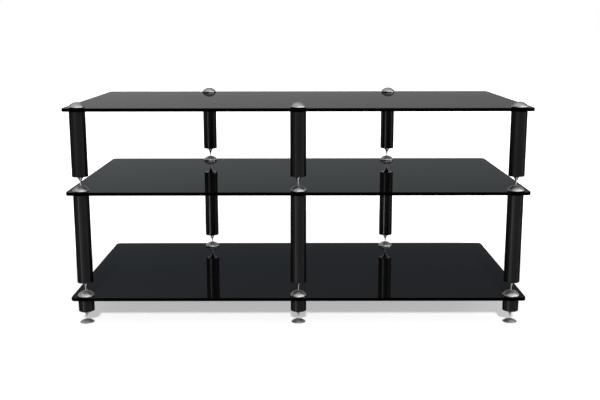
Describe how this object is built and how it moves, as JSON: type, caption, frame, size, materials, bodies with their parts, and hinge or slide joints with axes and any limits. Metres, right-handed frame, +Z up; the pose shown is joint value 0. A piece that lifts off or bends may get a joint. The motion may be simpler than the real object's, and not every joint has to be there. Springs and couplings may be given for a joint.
{
  "type": "audio-visual rack",
  "caption": "Low open rack of black glass shelves on round black columns, which stand on levelling spikes in domed metal caps.",
  "frame": {"origin": "on the floor, under the middle of the shelves", "axes": "+X to the right seen from the front, +Y to the rear, +Z up; the front faces -Y"},
  "size_m": [1.1, 0.55, 0.5369],
  "materials": {
    "black_glass": "polished, opaque black",
    "black_aluminium": "satin black anodised",
    "cap_chrome": "turned and satin chromed",
    "disc_chrome": "turned and satin chromed",
    "spike_chrome": "bright chromed",
    "plug_aluminium": "turned and black anodised",
    "washer_rubber": "matte"
  },
  "bodies": {
    "lower_deck": {"lower_shelf": "black_glass", "lower_column_front_left": "black_aluminium", "lower_column_front_centre": "black_aluminium", "lower_column_front_right": "black_aluminium", "lower_column_rear_left": "black_aluminium", "lower_column_rear_right": "black_aluminium", "lower_cap_front_left": "cap_chrome", "lower_cap_front_centre": "cap_chrome", "lower_cap_front_right": "cap_chrome", "lower_cap_rear_left": "cap_chrome", "lower_cap_rear_right": "cap_chrome", "lower_column_plugs": "plug_aluminium", "lower_glass_washers": "washer_rubber"},
    "middle_deck": {"middle_shelf": "black_glass", "middle_column_front_left": "black_aluminium", "middle_column_front_centre": "black_aluminium", "middle_column_front_right": "black_aluminium", "middle_column_rear_left": "black_aluminium", "middle_column_rear_right": "black_aluminium", "middle_cap_front_left": "cap_chrome", "middle_cap_front_centre": "cap_chrome", "middle_cap_front_right": "cap_chrome", "middle_cap_rear_left": "cap_chrome", "middle_cap_rear_right": "cap_chrome", "middle_column_plugs": "plug_aluminium", "middle_glass_washers": "washer_rubber"},
    "top_deck": {"top_shelf": "black_glass", "top_column_front_left": "black_aluminium", "top_column_front_centre": "black_aluminium", "top_column_front_right": "black_aluminium", "top_column_rear_left": "black_aluminium", "top_column_rear_right": "black_aluminium", "top_cap_front_left": "cap_chrome", "top_cap_front_centre": "cap_chrome", "top_cap_front_right": "cap_chrome", "top_cap_rear_left": "cap_chrome", "top_cap_rear_right": "cap_chrome", "top_column_plugs": "plug_aluminium", "top_glass_washers": "washer_rubber"},
    "floor_disc_front_left": {"floor_disc_front_left": "disc_chrome"},
    "floor_disc_front_centre": {"floor_disc_front_centre": "disc_chrome"},
    "floor_disc_front_right": {"floor_disc_front_right": "disc_chrome"},
    "floor_disc_rear_left": {"floor_disc_rear_left": "disc_chrome"},
    "floor_disc_rear_right": {"floor_disc_rear_right": "disc_chrome"},
    "lower_spike_front_left": {"lower_spike_front_left": "spike_chrome"},
    "lower_spike_front_centre": {"lower_spike_front_centre": "spike_chrome"},
    "lower_spike_front_right": {"lower_spike_front_right": "spike_chrome"},
    "lower_spike_rear_left": {"lower_spike_rear_left": "spike_chrome"},
    "lower_spike_rear_right": {"lower_spike_rear_right": "spike_chrome"},
    "middle_spike_front_left": {"middle_spike_front_left": "spike_chrome"},
    "middle_spike_front_centre": {"middle_spike_front_centre": "spike_chrome"},
    "middle_spike_front_right": {"middle_spike_front_right": "spike_chrome"},
    "middle_spike_rear_left": {"middle_spike_rear_left": "spike_chrome"},
    "middle_spike_rear_right": {"middle_spike_rear_right": "spike_chrome"},
    "top_spike_front_left": {"top_spike_front_left": "spike_chrome"},
    "top_spike_front_centre": {"top_spike_front_centre": "spike_chrome"},
    "top_spike_front_right": {"top_spike_front_right": "spike_chrome"},
    "top_spike_rear_left": {"top_spike_rear_left": "spike_chrome"},
    "top_spike_rear_right": {"top_spike_rear_right": "spike_chrome"}
  },
  "joints": [
    {"name": "foot_reach_front_left", "type": "slide", "parent": "lower_deck", "child": "floor_disc_front_left", "axis": [0, 0, -1], "range_m": [0, 0.008]},
    {"name": "foot_screw_front_left", "type": "hinge", "parent": "floor_disc_front_left", "child": "lower_spike_front_left", "pos_m": [-0.517, -0.254, 0], "axis": [0, 0, -1], "range_deg": [0, 2304]},
    {"name": "foot_reach_front_centre", "type": "slide", "parent": "lower_deck", "child": "floor_disc_front_centre", "axis": [0, 0, -1], "range_m": [0, 0.008]},
    {"name": "foot_screw_front_centre", "type": "hinge", "parent": "floor_disc_front_centre", "child": "lower_spike_front_centre", "pos_m": [0, -0.254, 0], "axis": [0, 0, -1], "range_deg": [0, 2304]},
    {"name": "foot_reach_front_right", "type": "slide", "parent": "lower_deck", "child": "floor_disc_front_right", "axis": [0, 0, -1], "range_m": [0, 0.008]},
    {"name": "foot_screw_front_right", "type": "hinge", "parent": "floor_disc_front_right", "child": "lower_spike_front_right", "pos_m": [0.517, -0.254, 0], "axis": [0, 0, -1], "range_deg": [0, 2304]},
    {"name": "foot_reach_rear_left", "type": "slide", "parent": "lower_deck", "child": "floor_disc_rear_left", "axis": [0, 0, -1], "range_m": [0, 0.008]},
    {"name": "foot_screw_rear_left", "type": "hinge", "parent": "floor_disc_rear_left", "child": "lower_spike_rear_left", "pos_m": [-0.258, 0.24, 0], "axis": [0, 0, -1], "range_deg": [0, 2304]},
    {"name": "foot_reach_rear_right", "type": "slide", "parent": "lower_deck", "child": "floor_disc_rear_right", "axis": [0, 0, -1], "range_m": [0, 0.008]},
    {"name": "foot_screw_rear_right", "type": "hinge", "parent": "floor_disc_rear_right", "child": "lower_spike_rear_right", "pos_m": [0.258, 0.24, 0], "axis": [0, 0, -1], "range_deg": [0, 2304]},
    {"name": "middle_deck_raise", "type": "slide", "parent": "lower_deck", "child": "middle_deck", "axis": [0, 0, 1], "range_m": [0, 0.008]},
    {"name": "middle_spike_turn_front_left", "type": "hinge", "parent": "lower_deck", "child": "middle_spike_front_left", "pos_m": [-0.517, -0.254, 0.0667], "axis": [0, 0, -1], "range_deg": [0, 2304]},
    {"name": "middle_spike_turn_front_centre", "type": "hinge", "parent": "lower_deck", "child": "middle_spike_front_centre", "pos_m": [0, -0.254, 0.0667], "axis": [0, 0, -1], "range_deg": [0, 2304]},
    {"name": "middle_spike_turn_front_right", "type": "hinge", "parent": "lower_deck", "child": "middle_spike_front_right", "pos_m": [0.517, -0.254, 0.0667], "axis": [0, 0, -1], "range_deg": [0, 2304]},
    {"name": "middle_spike_turn_rear_left", "type": "hinge", "parent": "lower_deck", "child": "middle_spike_rear_left", "pos_m": [-0.258, 0.24, 0.0667], "axis": [0, 0, -1], "range_deg": [0, 2304]},
    {"name": "middle_spike_turn_rear_right", "type": "hinge", "parent": "lower_deck", "child": "middle_spike_rear_right", "pos_m": [0.258, 0.24, 0.0667], "axis": [0, 0, -1], "range_deg": [0, 2304]},
    {"name": "top_deck_raise", "type": "slide", "parent": "middle_deck", "child": "top_deck", "axis": [0, 0, 1], "range_m": [0, 0.008]},
    {"name": "top_spike_turn_front_left", "type": "hinge", "parent": "middle_deck", "child": "top_spike_front_left", "pos_m": [-0.517, -0.254, 0.3258], "axis": [0, 0, -1], "range_deg": [0, 2304]},
    {"name": "top_spike_turn_front_centre", "type": "hinge", "parent": "middle_deck", "child": "top_spike_front_centre", "pos_m": [0, -0.254, 0.3258], "axis": [0, 0, -1], "range_deg": [0, 2304]},
    {"name": "top_spike_turn_front_right", "type": "hinge", "parent": "middle_deck", "child": "top_spike_front_right", "pos_m": [0.517, -0.254, 0.3258], "axis": [0, 0, -1], "range_deg": [0, 2304]},
    {"name": "top_spike_turn_rear_left", "type": "hinge", "parent": "middle_deck", "child": "top_spike_rear_left", "pos_m": [-0.258, 0.24, 0.3258], "axis": [0, 0, -1], "range_deg": [0, 2304]},
    {"name": "top_spike_turn_rear_right", "type": "hinge", "parent": "middle_deck", "child": "top_spike_rear_right", "pos_m": [0.258, 0.24, 0.3258], "axis": [0, 0, -1], "range_deg": [0, 2304]}
  ],
  "couplings": [
    {"joint": "foot_screw_front_left", "follows": "foot_reach_front_left", "rad_per_m": 5026.5},
    {"joint": "foot_screw_front_centre", "follows": "foot_reach_front_centre", "rad_per_m": 5026.5},
    {"joint": "foot_screw_front_right", "follows": "foot_reach_front_right", "rad_per_m": 5026.5},
    {"joint": "foot_screw_rear_left", "follows": "foot_reach_rear_left", "rad_per_m": 5026.5},
    {"joint": "foot_screw_rear_right", "follows": "foot_reach_rear_right", "rad_per_m": 5026.5},
    {"joint": "middle_spike_turn_front_left", "follows": "middle_deck_raise", "rad_per_m": 5026.5},
    {"joint": "middle_spike_turn_front_centre", "follows": "middle_deck_raise", "rad_per_m": 5026.5},
    {"joint": "middle_spike_turn_front_right", "follows": "middle_deck_raise", "rad_per_m": 5026.5},
    {"joint": "middle_spike_turn_rear_left", "follows": "middle_deck_raise", "rad_per_m": 5026.5},
    {"joint": "middle_spike_turn_rear_right", "follows": "middle_deck_raise", "rad_per_m": 5026.5},
    {"joint": "top_spike_turn_front_left", "follows": "top_deck_raise", "rad_per_m": 5026.5},
    {"joint": "top_spike_turn_front_centre", "follows": "top_deck_raise", "rad_per_m": 5026.5},
    {"joint": "top_spike_turn_front_right", "follows": "top_deck_raise", "rad_per_m": 5026.5},
    {"joint": "top_spike_turn_rear_left", "follows": "top_deck_raise", "rad_per_m": 5026.5},
    {"joint": "top_spike_turn_rear_right", "follows": "top_deck_raise", "rad_per_m": 5026.5}
  ]
}
